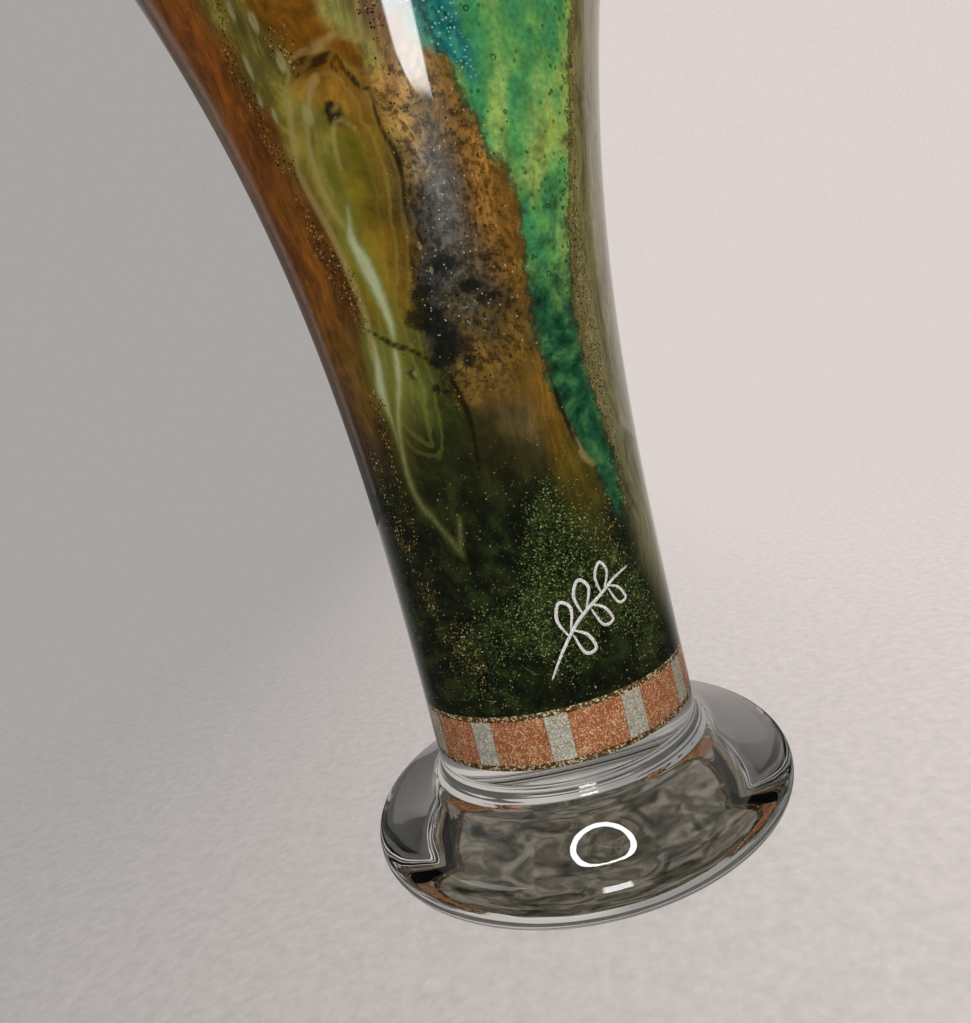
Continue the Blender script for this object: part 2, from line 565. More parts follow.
# %% Folds and pale lines
# Folds where one skin of glass lies over the next: thin brown lines, and the thin pale edges beside them
FOLDS = [
    [(-28.5, 152.5, 0.4), (-27.0, 153.9, 0.7), (-24.2, 153.8, 0.8), (-20.5, 153.1, 0.7), (-16.9, 152.6, 0.8),
     (-14.7, 151.2, 0.7), (-14.7, 149.6, 0.6), (-13.0, 147.2, 0.9), (-11.9, 145.2, 0.7), (-9.7, 144.3, 0.3)],
    [(-28.5, 151.0, 0.3), (-25.0, 152.3, 0.6), (-21.7, 151.9, 0.6), (-18.0, 151.4, 0.5), (-16.2, 149.0, 0.4)],
    [(-9.8, 141.5, 0.3), (-9.4, 136.6, 0.7), (-7.7, 131.5, 0.8), (-7.6, 126.6, 0.7), (-9.6, 120.0, 0.3)],
    [(-22.6, 144.9, 0.5), (-20.5, 144.2, 1.0), (-19.0, 143.8, 0.5)],
    [(-22.6, 143.2, 0.4), (-20.8, 142.6, 0.8), (-18.6, 142.6, 0.4)],
    [(-36.2, 99.6, 0.4), (-30.9, 96.6, 0.8), (-26.5, 93.9, 1.3), (-21.2, 91.8, 0.9), (-16.7, 89.1, 0.8),
     (-11.1, 84.9, 0.5)],
    [(-9.7, 83.9, 0.6), (-7.8, 77.8, 1.2), (-6.9, 72.9, 0.8), (-7.5, 65.9, 0.5), (-8.8, 58.9, 0.2)],
    [(25.4, 78.2, 0.4), (26.9, 72.3, 0.8), (29.0, 64.8, 0.8), (31.1, 59.7, 0.5)],
    [(40.5, 42.0, 0.4), (38.7, 37.0, 0.8), (37.6, 32.0, 0.5)],
    [(148, 168, 0.5), (140, 150, 0.9), (146, 130, 0.8), (157, 112, 0.9), (162, 96, 0.5)],
    [(252, 156, 0.5), (250, 136, 0.9), (254, 116, 0.8), (262, 98, 0.4)],
]
PALE_LINES = [
    [(x, up, 1.5) for x, up in PETAL_SIDE[1:]],
    [(-33.6, 149.4, 0.4), (-29.0, 152.9, 0.7), (-25.0, 154.9, 0.8), (-20.4, 154.4, 0.7), (-16.0, 153.6, 0.5)],
    [(-22.4, 149.7, 1.6), (-24.7, 148.5, 1.4), (-26.8, 146.3, 1.0), (-30.2, 142.3, 0.8), (-32.3, 137.1, 0.9),
     (-32.8, 131.3, 0.9), (-32.1, 125.9, 0.9), (-29.9, 121.5, 0.8)],
    [(-20.4, 155.6, 0.4), (-14.3, 155.2, 0.7), (-9.2, 153.2, 0.7), (-5.9, 151.6, 0.5), (-4.7, 148.4, 0.3)],
    [(-5.2, 172, 0.6), (-6.0, 162.0, 0.9), (-7.8, 153.2, 0.6)],
    [(-22.0, 144.1, 0.4), (-20.6, 143.4, 0.9), (-19.0, 143.3, 0.4)],
    [(-24.5, 132.0, 0.3), (-23.6, 138.0, 0.6), (-20.6, 141.2, 0.5), (-16.5, 138.5, 0.3)],
    [(30.4, 62.5, 0.8), (32.8, 58.2, 1.6), (36.4, 55.6, 1.0)],
    [(38.5, 33.5, 0.4), (36.0, 31.0, 0.7)],
    [(250, 158, 0.5), (248, 136, 1.0), (252, 116, 0.8)],
]

# %% Spots and grains
# Pale oval spots and dark blots: (angle, height, reach round and up)
PALE_SPOTS = [(-33.1, 164.2, 1.0, 2.2), (-40.6, 158.6, 0.8, 2.6), (-30.1, 155.4, 1.1, 2.2), (-37.8, 168.4, 0.8, 2.0),
              (-28.3, 144.5, 1.4, 2.2), (-39.0, 148.0, 0.8, 1.6), (-42.0, 152.0, 0.7, 1.4), (140, 150, 1.2, 3.0),
              (136, 136, 1.0, 2.4), (-21.9, 86.2, 0.6, 0.8), (-8.0, 112.4, 0.6, 0.8), (-6.6, 106.8, 0.5, 1.0)]
BLOTS = [(-12.1, 103.0, 2.6, 1.6), (-15.2, 98.0, 3.4, 1.8), (-10.8, 96.6, 2.2, 1.6), (-7.3, 93.8, 2.6, 1.6),
         (4.3, 101.8, 3.0, 1.2), (8.4, 98.4, 2.4, 1.1), (-5.3, 90.1, 3.0, 1.6), (-11.7, 87.7, 2.4, 1.5),
         (-2.0, 107.5, 3.4, 2.0), (-21.0, 142.6, 2.0, 2.2), (-23.6, 86.4, 1.2, 1.0), (-15.8, 81.9, 1.0, 1.0),
         (-12.4, 80.2, 1.0, 0.9), (-1.5, 86.0, 1.6, 1.2), (184, 96, 5.0, 3.0), (176, 112, 4.0, 2.4)]
# Chains of dark and golden grains along the borders, with their width in millimetres
CHAINS = [
    [(-41.0, 172, 2.0), (-44.2, 164.9, 2.5), (-46.8, 159.8, 3.0), (-45.7, 155.6, 2.6), (-45.4, 150.5, 2.6),
     (-46.0, 144.5, 3.0), (-42.4, 139.0, 3.6), (-41.1, 136.7, 2.0)],
    [(-43.7, 130.1, 2.0), (-42.4, 122.9, 4.0), (-40.6, 116.2, 5.5), (-37.9, 110.3, 5.5), (-36.5, 105.9, 4.0),
     (-36.5, 100.2, 1.6)],
    [(-29.8, 159.7, 3.4), (-27.0, 156.4, 2.6), (-26.1, 154.0, 1.0)],
    [(-3.4, 162.0, 3.0), (-3.6, 156.0, 3.6), (-2.2, 153.0, 1.4)],
    [(-41.5, 84, 3.0), (-42.5, 76.0, 3.0), (-44.5, 64.0, 2.0), (-42.0, 56.0, 1.4), (-44.0, 46.0, 0.8)],
    [(55, 176, 1.2), (54, 150, 1.4), (50, 128, 2.4), (47.4, 105.6, 5.0), (47.2, 94.2, 6.0), (47.6, 84.7, 6.0),
     (48.6, 70.0, 4.5), (49.8, 56.0, 3.0), (49.0, 44.0, 2.6)],
    [(39.6, 47.0, 2.0), (38.9, 40.0, 3.0), (38.0, 36.0, 1.4)],
    [(200, 176, 3.0), (204, 150, 3.0), (210, 120, 5.0), (214, 92, 4.0)],
]


# %% Distances and clouds
def smooth_path(points, closed, steps=8):
    """Catmull-Rom curve through the points: a cubic between each two, with the neighbours' chords as tangents."""
    p = np.asarray(points, float)
    p = np.concatenate([p[-1:], p, p[:2]]) if closed else np.concatenate([p[:1], p, p[-1:]])
    t = np.linspace(0, 1, steps, endpoint=False)[:, None]
    a, b, c, d = p[:-3, None], p[1:-2, None], p[2:-1, None], p[3:, None]
    curve = 0.5 * (2 * b + (c - a) * t + (2 * a - 5 * b + 4 * c - d) * t ** 2 + (3 * b - a - 3 * c + d) * t ** 3)
    curve = curve.reshape(-1, p.shape[1])
    return curve if closed else np.concatenate([curve, p[-1:]])


def unrolled(angle, up, middle):
    """Millimetres round the wall from a middle angle, and up it: the angle's arc length at that height."""
    z = BELT_TOP + up * MM
    turn = (angle - middle + 180) % 360 - 180
    return np.stack([np.radians(turn) * (body_radius(z) / MM), up + 0 * turn], axis=-1)


def distance_to_path(angle, up, path, closed):
    """Distance in millimetres to a path, less its half width if it has one, and positive inside. The inside of
    a closed outline is where a line to the right crosses it an odd number of times."""
    path = smooth_path(path, closed)
    middle = (path[:, 0].min() + path[:, 0].max()) / 2
    line = unrolled(path[:, 0], path[:, 1], middle)
    here = unrolled(angle, up, middle)
    ends = np.roll(line, -1, axis=0) if closed else line[1:]
    width = path[:, 2] / 2 if path.shape[1] == 3 else np.zeros(len(path))
    best = np.full(angle.shape, 1e3)
    inside = np.zeros(angle.shape, bool)
    for k, end in enumerate(ends):
        start, along = line[k], end - line[k]
        to = here - start
        t = np.clip(to @ along / max(along @ along, 1e-9), 0, 1)
        gap = np.hypot(*(to - t[..., None] * along).reshape(-1, 2).T).reshape(angle.shape)
        best = np.minimum(best, gap - (width[k] + t * (width[(k + 1) % len(width)] - width[k])))
        if closed:
            crosses = (start[1] > here[..., 1]) != (end[1] > here[..., 1])
            rise = along[1] if abs(along[1]) > 1e-9 else 1e-9
            inside ^= crosses & (here[..., 0] < start[0] + to[..., 1] / rise * along[0])
    return np.where(inside, best, -best)


def nearest_of(angle, up, paths, closed):
    """The greatest of the distances to several paths, so that one attribute serves them all."""
    return np.max([distance_to_path(angle, up, path, closed) for path in paths], axis=0)


def waves(place, size, seed):
    """Smooth pattern between about -1 and 1: seven sine waves of this size in random directions, averaged."""
    random = np.random.default_rng(seed)
    way = random.normal(size=(7, 3))
    way /= np.linalg.norm(way, axis=1)[:, None]
    reach = 2 * math.pi / (size * random.uniform(0.6, 1.6, 7))
    return np.sin((place @ way.T) * reach + random.uniform(0, 6.3, 7)).sum(-1) / 3


def reach_of(angle, up, spot):
    """Squared distance from a spot, in units of its reach round the wall and up it."""
    here = unrolled(angle, up, spot[0])
    return (here[..., 0] / spot[2]) ** 2 + ((up - spot[1]) / spot[3]) ** 2


def cloud(angle, up, spots):
    """Sum of soft round clouds, each the exponential of minus half its squared distance."""
    return sum(np.exp(-reach_of(angle, up, spot) / 2) for spot in spots)


def powder_colour(angle, up):
    """Colour of the powders at each point: their linear colours, weighted by the exponential of minus their
    squared distance, so that the nearest one rules and its neighbours show through at the border."""
    gaps = np.stack([reach_of(angle, up, spot) for spot in POWDERS])
    weight = np.exp(-(gaps - gaps.min(0)) * 0.9)
    colours = np.array([linear(spot[4])[:3] for spot in POWDERS])
    return np.tensordot(weight, colours, axes=(0, 0)) / weight.sum(0)[..., None]


# %% Build the skin
SKIN_ANGLES = np.radians(np.concatenate([np.arange(-75, 75, 0.75), np.arange(75, 285, 1.75)]))
FINE_TOP = 222 * MM
DRIFT_RADIUS = 38
skin_z = np.concatenate([np.linspace(BELT_TOP, FLARE_START, 16)[:-1], np.linspace(FLARE_START, FINE_TOP, 136)[:-1],
                         np.linspace(FINE_TOP, COLOUR_END, 40)])
INNER_ROWS = np.unique(np.linspace(0, len(skin_z) - 1, 50).astype(int))
out_r, out_z = layer(skin_z, CASING)
in_r, in_z = layer(skin_z[INNER_ROWS], CASING, COLOUR)
skin_r = np.concatenate([out_r, in_r[::-1]])
skin_h = np.concatenate([out_z, in_z[::-1]])


def skin_fields():
    """Distances for every point of the skin, in the order in which spin() lays its points down."""
    angle = np.degrees(SKIN_ANGLES)[None, :]
    up = (out_z[:, None] - BELT_TOP) / MM
    angle, up = np.broadcast_arrays(angle, up)
    fields = {name: nearest_of(angle, up, paths, True) for name, paths in OUTLINES.items()}
    place = around(DRIFT_RADIUS, np.radians(angle), up)
    drift_round = 4.0 * waves(place, 22, 1) + 2.0 * waves(place, 9, 2)
    drift_up = 5.0 * waves(place, 26, 3) + 2.5 * waves(place, 10, 4)
    tint = powder_colour(angle + drift_round, up + drift_up)
    fields["dust"] = cloud(angle + drift_round, up + drift_up, DUST)
    for name, paths in {"cream": VEINS, "fold": FOLDS, "pale": PALE_LINES, "chain": CHAINS}.items():
        fields[name] = nearest_of(angle, up, paths, False)
    for name, spots in {"gold": GOLD, "spots": PALE_SPOTS, "blots": BLOTS}.items():
        fields[name] = cloud(angle, up, spots)
    across = np.sin(np.radians(angle)) * (1 - 0.4 * np.clip(-2 * np.cos(np.radians(angle)), 0, 1))
    edge = smooth_path(DARK_EDGE, False)
    fields["dark"] = np.interp(across * body_radius(out_z)[:, None] / NECK_RADIUS, edge[:, 0], edge[:, 1]) - up
    fields = {name: np.concatenate([d, d[INNER_ROWS][::-1]]) for name, d in fields.items()}
    return fields, np.concatenate([tint, tint[INNER_ROWS][::-1]])


fields, tint = skin_fields()
print("patches:", {name: f"{(d > 0).mean() * 100:.1f}%" for name, d in fields.items()})

# %% [markdown]
# ### The skin's material
#
# Coloured soda-lime glass, powdered and melted, seen through the casing. It sits inside the glass, so it has no
# gloss of its own. The shader is a stack of coats, from the amber ground up. Each coat has a mottled colour
# and a frayed mask. The noise sizes come from the real thing: mottling of 6 mm, drawn fibres of 1 mm by 12 mm,
# grains of 0.8 mm, and bubbles a few millimetres apart.

# %% Patterns that the coats share
class Skin(Shader):
    """The skin's nodes: its shared patterns, and the colour that its coats have made so far."""

    def __init__(self, name):
        super().__init__(name)
        swirl = self.vector("SUBTRACT", self.noise(20, 1.0, output="Color"), (0.5, 0.5, 0.5))
        self.bent = self.vector("MULTIPLY_ADD", swirl, (12 * MM,) * 3, self.place)
        drawn = self.vector("MULTIPLY", self.bent, (1.0, 1.0, 0.12))
        self.mottle = self.noise(5.5, 4.0, self.bent, 0.62)
        self.fibre = self.noise(1.3, 4.0, drawn, 0.7)
        self.broad_fibre = self.noise(5.0, 2.0, drawn)
        self.fray = self.noise(2.2, 4.0, rough=0.75)
        self.frayed, self.wander = self.fray - 0.5, self.mottle - 0.5
        self.height = self.add("SeparateXYZ", {0: self.place}, 2)

    def mask(self, name, soft, rough, swing):
        """Where a patch covers: its distance, moved by fine and coarse noise, over a soft border."""
        return self.steps(self.frayed * rough + self.wander * swing + self.field(name), -soft, soft)

    def chance(self, random, density, soft=0.02):
        """Shows a grain where its own random number is above one less the density."""
        return self.steps(random + density - 1.0, 0.0, soft)

    def coat(self, top, mask):
        """Lays a colour over what is there, where the mask is one."""
        self.colour = self.over(self.colour, top, mask)


# %% [markdown]
# The first coats are the broad ones. The powders show darker and lighter along drawn fibres and in clouds. Smoke
# lies over their middle in torn shreds, and round it the glass crinkled as it cooled. The petal is a nest of skins,
# the colour runs thin at the right side, and the bottom is black green.

# %% Powders, smoke, petal, side and base
def ground_coats(s):
    """The powders' own colour times a tone, which is a product of smooth steps of noise, then four coats over it."""
    petal = s.mask("petal", 2.2, 2.0, 3.0)
    tone = s.steps(s.fibre, 0.30, 0.72, -0.28, 0.34) * (petal * -0.65 + 1.0) + 1.0
    tone = tone * s.steps(s.broad_fibre, 0.3, 0.7, 0.80, 1.24) * s.steps(s.mottle, 0.3, 0.7, 0.76, 1.26)
    s.middle = s.steps(s.wander * 16.0 + s.field("smoke"), -20.0, -2.0) * (petal * -0.8 + 1.0)
    crease = s.steps(s.noise(1.7, 5.0, s.bent, 0.72), 0.40, 0.56, 0.30, 1.22)
    s.colour = s.scale(s.field("powder", "Color"), tone * (s.middle * (crease - 1.0) + 1.0))

    s.smoke = s.mask("smoke", 5.0, 10.0, 16.0) * s.steps(s.mottle, 0.58, 0.42, 0.10, 0.66)
    s.coat(s.ramp(s.noise(1.5, 5.0, s.bent, 0.75), (0.36, "#1e1d1a"), (0.50, "#45433c"), (0.62, "#7c786c")), s.smoke)

    nest = s.wander * 4.0 + s.field("petal")
    bands = s.steps((nest * 2.1).math("SINE"), 0.0, 1.0, 0.0, 0.22)
    s.coat("#a09a4a", bands * s.steps(nest, 11.0, 2.0) * petal)

    side = s.ramp(s.fibre * 0.6 + s.broad_fibre * 0.4, (0.35, "#57522f"), (0.5, "#837c58"), (0.68, "#a49d78"))
    s.coat(side, s.mask("side", 4.5, 5.0, 9.0) * 0.72)

    s.dark = s.mask("dark", 13.0, 6.0, 18.0)
    s.coat(s.ramp(s.mottle, (0.33, "#0b0d07"), (0.50, "#181d0d"), (0.68, "#333a1a")), s.dark * 0.88)


# %% Green and teal panels
def green_coats(s):
    """Emerald drifts into yellow green in broad soft cells, darker at its foot. Teal covers its left, and a thin
    dark line runs where the green skin ends, which is where its distance is near zero."""
    cells = s.noise(9.0, 2.0, s.vector("MULTIPLY", s.bent, (1.0, 1.0, 0.45)))
    cells = cells + (s.steps(s.field("side"), -12.0, -1.0) - 0.5) * 0.16
    high = s.ramp(cells, (0.32, "#46905a"), (0.42, "#629f56"), (0.50, "#84ae60"), (0.60, "#9cb65e"),
                  (0.72, "#a2ae50"))
    high = s.scale(high, s.steps(s.noise(1.2), 0.3, 0.7, 0.80, 1.16) * s.steps(s.mottle, 0.3, 0.7, 0.80, 1.14))
    low = s.ramp(s.mottle, (0.34, "#0d2a1a"), (0.5, "#24573a"), (0.66, "#4f8046"))
    s.green = s.mask("green", 1.5, 6.0, 5.0)
    s.coat(s.over(low, high, s.steps(s.wander * (90 * MM) + s.height, 124 * MM, 180 * MM)), s.green)
    s.teal = s.mask("teal", 2.0, 4.0, 8.0)
    s.coat(s.ramp(s.mottle, (0.35, "#10464a"), (0.5, "#1c6c6a"), (0.65, "#44947e")), s.teal)
    rim = s.steps((s.frayed * 6.0 + s.wander * 5.0 + s.field("green")).math("ABSOLUTE"), 1.0, 0.1)
    s.coat("#10201a", rim * s.fray * 1.1)


# %% Blots, spots, veins and folds
def line_coats(s):
    """Dark blots, pale ovals, and the lines. A cream vein is pale in the middle and green at its sides, fades
    towards its foot, and has a green halo higher up."""
    s.coat("#121410", s.steps(s.frayed + s.field("blots"), 0.35, 0.8) * 0.85)
    spots = s.steps(s.frayed * 0.5 + s.field("spots"), 0.45, 0.8)
    s.coat("#9c9468", spots * s.steps(s.fibre, 0.3, 0.6, 0.45, 0.85))
    near = s.frayed * 1.3 + s.field("cream")
    vein = s.ramp(s.steps(near, -1.0, 1.5) * 0.75 + s.fibre * 0.30,
                  (0.10, "#6c6a30"), (0.50, "#8c8c50"), (0.80, "#a9ab80"), (1.0, "#c4c6a4"))
    halo = s.steps(s.wander * 2.0 + near, -4.5, 0.0) * 0.40
    s.coat("#7c762e", halo * s.steps(s.height, 88 * MM, 142 * MM))
    s.coat(vein, s.steps(near, -1.5, 1.0) * s.steps(s.height, 70 * MM, 142 * MM, 0.30, 0.95))
    s.coat("#a8925a", s.steps(s.frayed * 0.6 + s.field("pale"), -0.8, 0.5) * 0.62)
    s.coat("#1a1108", s.steps(s.frayed * 0.9 + s.field("fold"), -0.5, 0.25) * 0.85)


# %% [markdown]
# The last coats are grains, which come from cells laid at random, each with random numbers of its own. One number
# says whether the grain shows and another picks its colour. The aventurine flakes are a third of a millimetre,
# drawn a little coarser than real, so that they don't blur away.

# %% Grains, bubbles, seeds and flakes
def grain_coats(s):
    """Grains in chains, bubbles and seeds in the green and teal, then green dust, gold and a little glitter."""
    gap, first, second, third = s.grains(0.6)
    shape = s.steps(gap, 0.50, 0.28)
    near = (s.steps(s.frayed * 5.0 + s.field("chain"), -2.2, 1.4) * 0.8).math("MAXIMUM", s.middle * 0.09)
    grains = s.ramp(first, (0.0, "#120b05"), (0.50, "#22150a"), (0.62, "#6a461c"), (0.95, "#c89e5e"))
    s.coat(grains, s.chance(second, near) * shape)

    bubble_gap, shown, size, _ = s.grains(3.2)
    ring = (bubble_gap.math("DIVIDE", size * 0.13 + 0.10) - 0.8).math("ABSOLUTE")
    s.coat("#12301d", s.green * (s.steps(ring, 0.34, 0.10) * s.steps(shown, 0.30, 0.36)) * 0.8)
    seed_gap, _, shown, _ = s.grains(1.5)
    density = s.steps(s.mottle, 0.62, 0.40, 0.03, 0.20) + s.steps(s.field("green"), 13.0, 1.0, 0.0, 0.42)
    s.coat("#1a5c36", s.green * s.steps(seed_gap, 0.40, 0.22) * s.chance(shown, density, 0.2) * 0.8)
    s.coat("#8fc4bd", s.teal * shape * s.chance(third, 0.22) * 0.85)

    _, flake_1, flake_2, flake_3 = s.grains(0.29)
    dust = s.steps(s.frayed * 1.6 + s.field("dust"), 0.1, 1.1) * 0.34 + 0.03
    dust = s.chance(flake_1, dust * s.steps(s.dark, 0.2, 0.8, 0.25, 1.0))
    shade = s.ramp(flake_2, (0.0, "#2a4020"), (0.55, "#4c5e28"), (0.85, "#7a8044"), (0.98, "#c8c494"))
    s.coat(shade, dust * (1.0 - s.green.math("MAXIMUM", s.teal)) * 0.8)
    gold = s.ramp(third, (0.0, "#2a1c0c"), (0.45, "#6a4d22"), (0.8, "#a5824a"), (1.0, "#e6d2a0"))
    near = s.steps(s.frayed * 2.4 + s.field("gold"), 0.25, 0.9) * 0.75
    s.coat(gold, s.chance(first, near) * shape)
    s.coat("#d8d4c8", s.chance(flake_3, s.smoke * 0.032 + 0.0015, 0.004) * (1.0 - s.green) * 0.6)


# %% Put the skin together
def skin_material():
    """Stack of melted glass colours, each masked by its distance attribute and frayed by noise."""
    s = Skin("melted_colour_glass")
    for coats in (ground_coats, green_coats, line_coats, grain_coats):
        coats(s)
    return s.surface(s.solid(s.colour, 0.6, Specular_IOR_Level=0.0, IOR=1.5))


SKIN = skin_material()
skin = spin("colour_skin", skin_r, skin_h, [SKIN], turns=SKIN_ANGLES, closed=True)
for name, distance in fields.items():
    attribute = skin.data.attributes.new(name, "FLOAT", "POINT")
    attribute.data.foreach_set("value", np.clip(distance, -40, 40).ravel().astype(np.float32))
powder = skin.data.attributes.new("powder", "FLOAT_COLOR", "POINT")
rgba = np.concatenate([tint, np.ones_like(tint[..., :1])], axis=-1)
powder.data.foreach_set("color", rgba.ravel().astype(np.float32))
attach(skin, "root")
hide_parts(*[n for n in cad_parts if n.endswith(("_vein", "_patch", "_panel", "_petal", "_streak",
                                                             "_side", "_back", "_base", "_ground"))])
print("skin:", len(skin.data.polygons), "faces")

# %% [markdown]
# ## An engraved sprig
#
# A maker often scratches a small mark into the cold glass with a diamond point. The cut is rough, so it scatters
# light and looks white. Ours is a plain sprig: a stem and six leaf loops. Each stroke is a flat ribbon of ground
# glass that follows the outside of the wall.

# %% Build the sprig
STROKES = [
    [(-1, 8, 0.5), (5, 14, 1.0), (12, 19.5, 1.2), (18, 22.5, 1.2), (25, 25, 1.1), (32, 27.5, 0.9), (40, 29, 0.5)],
    [(9, 17.5, 0.6), (6, 22, 1.1), (8, 26, 1.1), (12, 24, 1.1), (10, 18.5, 0.6)],
    [(16, 21.7, 0.6), (14, 26.5, 1.1), (17, 30, 1.1), (20.5, 27.5, 1.1), (17.5, 22.5, 0.6)],
    [(25, 25.2, 0.6), (24, 29.5, 1.0), (27, 32.5, 1.0), (29.5, 29.8, 1.0), (26.5, 25.6, 0.6)],
    [(11, 18.7, 0.6), (16, 16.5, 1.1), (18, 12.8, 1.1), (13.5, 12.5, 1.1), (10.5, 17.8, 0.6)],
    [(20, 23.3, 0.6), (25, 21.5, 1.0), (27.5, 18, 1.0), (23, 17.6, 1.0), (19.5, 22.5, 0.6)],
    [(28.5, 26.3, 0.5), (33, 25, 0.9), (35.5, 21.8, 0.9), (31.5, 21.5, 0.9), (28.3, 25.8, 0.5)],
]


def ribbon(path, above=0.04 * MM, thick=0.03 * MM):
    """Flat closed ribbon along a path of (angle, height above the belt, width): a four-cornered section, half the
    width to each side of the path along the wall, pinched shut at both ends."""
    path = smooth_path(path, False, 6)
    angle, up, width = np.radians(path[:, 0]), BELT_TOP + path[:, 1] * MM, path[:, 2] * MM * 0.75
    radius = body_radius(up)
    way = np.stack([np.gradient(angle) * radius, np.gradient(up)], axis=1)
    side = np.stack([-way[:, 1], way[:, 0]], axis=1) / np.linalg.norm(way, axis=1)[:, None]
    pinch = np.where((np.arange(len(path)) == 0) | (np.arange(len(path)) == len(path) - 1), 0.02, 1.0)
    corners = []
    for across, lift in ((-1, above), (1, above), (1, above + thick), (-1, above + thick)):
        a = angle + across * pinch * width / 2 * side[:, 0] / radius
        z = up + across * pinch * width / 2 * side[:, 1]
        corners.append(around(body_radius(z) + lift, a, z))
    return np.stack(corners, axis=1)


def ground_glass():
    """Glass scratched with a diamond point: the rough cut scatters light, so it looks like white frost."""
    s = Shader("diamond_ground_frost")
    return s.surface(s.solid(s.ramp(s.noise(0.35), (0.32, "#a3a49c"), (0.62, "#f4f3ee")), 0.8))


sprig_points, sprig_faces = [], []
for stroke in STROKES:
    corners = ribbon(stroke)
    start = sum(len(part) for part in sprig_points)
    last = start + corners.shape[0] * 4 - 4
    sprig_points.append(corners.reshape(-1, 3))
    sprig_faces.append(grid_faces(corners.shape[0], 4)[:, ::-1] + start)
    sprig_faces.append(np.array([[start, start + 1, start + 2, start + 3], [last + 3, last + 2, last + 1, last]]))
sprig = put_mesh("engraved_sprig", np.concatenate(sprig_points), np.concatenate(sprig_faces), [ground_glass()])
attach(sprig, "root")
print("sprig:", len(sprig.data.polygons), "faces")

# %% [markdown]
# ## The belt
#
# Squares of copper leaf and slips of silver leaf are rolled on to a dark core and edged with amber threads.
# The leaf wrinkles as the glass moves, so it sparkles in grains. The CAD tiles have the right shape; here each
# gets an uneven cut edge and a crackled leaf surface.

# %% Leaf materials
def leaf(name, base, bright, deep, grain_size=0.28):
    """Metal leaf crackled into grains under glass: each grain tilts its own way and takes its own shade."""
    s = Shader(name)
    _, random, tilt, _ = s.grains(grain_size)
    shade = random * 0.58 + s.noise(2.4, 3.0) * 0.45 + 0.27
    shade = s.ramp(shade, (0.42, deep), (0.62, base), (0.86, base), (1.0, bright))
    tilt = s.add("Bump", {"Height": tilt, "Distance": 0.06 * MM})
    return s.surface(s.solid(shade, 0.42, Metallic=0.55, Normal=tilt))


def core_material():
    """Black-green aventurine glass of the core, which only shows through the clear foot and the bubble's base. It
    is lifted with a faint glow of its own, because little light finds its way through the glass round it."""
    s = Shader("aventurine_core_glass")
    cloud = s.noise(9, 5.0, rough=0.65, distortion=1.2)
    shade = s.ramp(cloud, (0.36, "#4c5a52"), (0.5, "#b0a48e"), (0.62, "#fff0de"))
    return s.surface(s.solid(shade, 0.5, Specular_IOR_Level=0.0, Emission_Color=shade, Emission_Strength=0.13))


COPPER = leaf("crackled_copper_leaf", "#c6734a", "#ffd6a6", "#8e4a2a")
SILVER = leaf("crackled_silver_leaf", "#cdc4b0", "#fffaf0", "#7c786a")
THREAD = leaf("amber_glass_thread", "#6a4618", "#f6e4b8", "#2e1c08", grain_size=0.42)
CORE = core_material()
for name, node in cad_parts.items():
    finish = {"copper": COPPER, "silver": SILVER, "lower": THREAD, "upper": THREAD}.get(name.split("_")[0])
    finish = CORE if name == "dark_core" else finish
    if finish and not name.endswith("_vein"):
        node.data.materials.clear()
        node.data.materials.append(finish)

# %% [markdown]
# ## Studio
#
# Glass looks like what surrounds it, so the room matters as much as the lamps: a pale sweep, a soft sky and one
# tall window, with black flags that keep the pale room out of the dark colours, and a small ring lamp that the
# foot mirrors.

# %% Room
PAPER_LEFT, PAPER_RIGHT = "#a7a3a1", "#ddd3ce"
FLOOR_RADIUS, COVE, WALL_TOP = 1.5, 0.8, 2.4
FLOOR_ROWS, ROOM_TURNS = 19, 96
GLOSS_ONLY = ("camera", "diffuse", "transmission", "shadow")


def paper_material():
    """Matt pale paper that grows lighter from left to right. What the camera sees, straight, by mirror or through
    glass, is partly the paper's own even glow, so that it stays pale all round. Near the vase more of it is real
    paper, which keeps the shadow, and the foot sees the paper under it darkened, as its own weight shades it."""
    s = Shader("pale_studio_paper")
    x, y, _ = s.node("SeparateXYZ", {0: s.place}).outputs
    away = s.vector("LENGTH", s.add("CombineXYZ", {0: x, 1: y}), output="Value")
    path = s.node("LightPath").outputs
    across = s.steps(x, -0.26, 0.20) + s.noise(9, 5.0, rough=0.7) * 0.22 - 0.11
    under = s.steps(away, 0.05, 0.15, 0.22).math("MAXIMUM", path["Is Camera Ray"])
    nap = s.steps(s.noise(3.5, 4.0, rough=0.65), 0.3, 0.7, 0.92, 1.08, kind="LINEAR")
    hue = s.scale(s.over(PAPER_LEFT, PAPER_RIGHT, across), under * nap)
    seen = Value(s, path["Is Camera Ray"]).math("MAXIMUM", path["Is Glossy Ray"])
    seen = seen.math("MAXIMUM", path["Is Transmission Ray"])
    paper = s.solid(hue, 0.9, Specular_IOR_Level=0.2)
    return s.surface(paper, s.glow(hue, 1.0), seen * s.steps(away, 0.10, 0.40, 0.85))


def stage_piece(name, points, faces, material, unseen=()):
    """A piece of the studio, which isn't part of the vase. The kinds of ray in unseen pass it by."""
    mesh = bpy.data.meshes.new(name)
    mesh.from_pydata(points.reshape(-1, 3).tolist(), [], faces)
    mesh.materials.append(material)
    made = bpy.data.objects.new(name, mesh)
    bpy.context.scene.collection.objects.link(made)
    for kind in unseen:
        setattr(made, "visible_" + kind, False)
    return made


cove_r, cove_z = arc_points((FLOOR_RADIUS, COVE), COVE, -90, 0, 24)
room_r = np.concatenate([np.linspace(0, FLOOR_RADIUS, FLOOR_ROWS + 1)[:-1], cove_r, [FLOOR_RADIUS + COVE]])
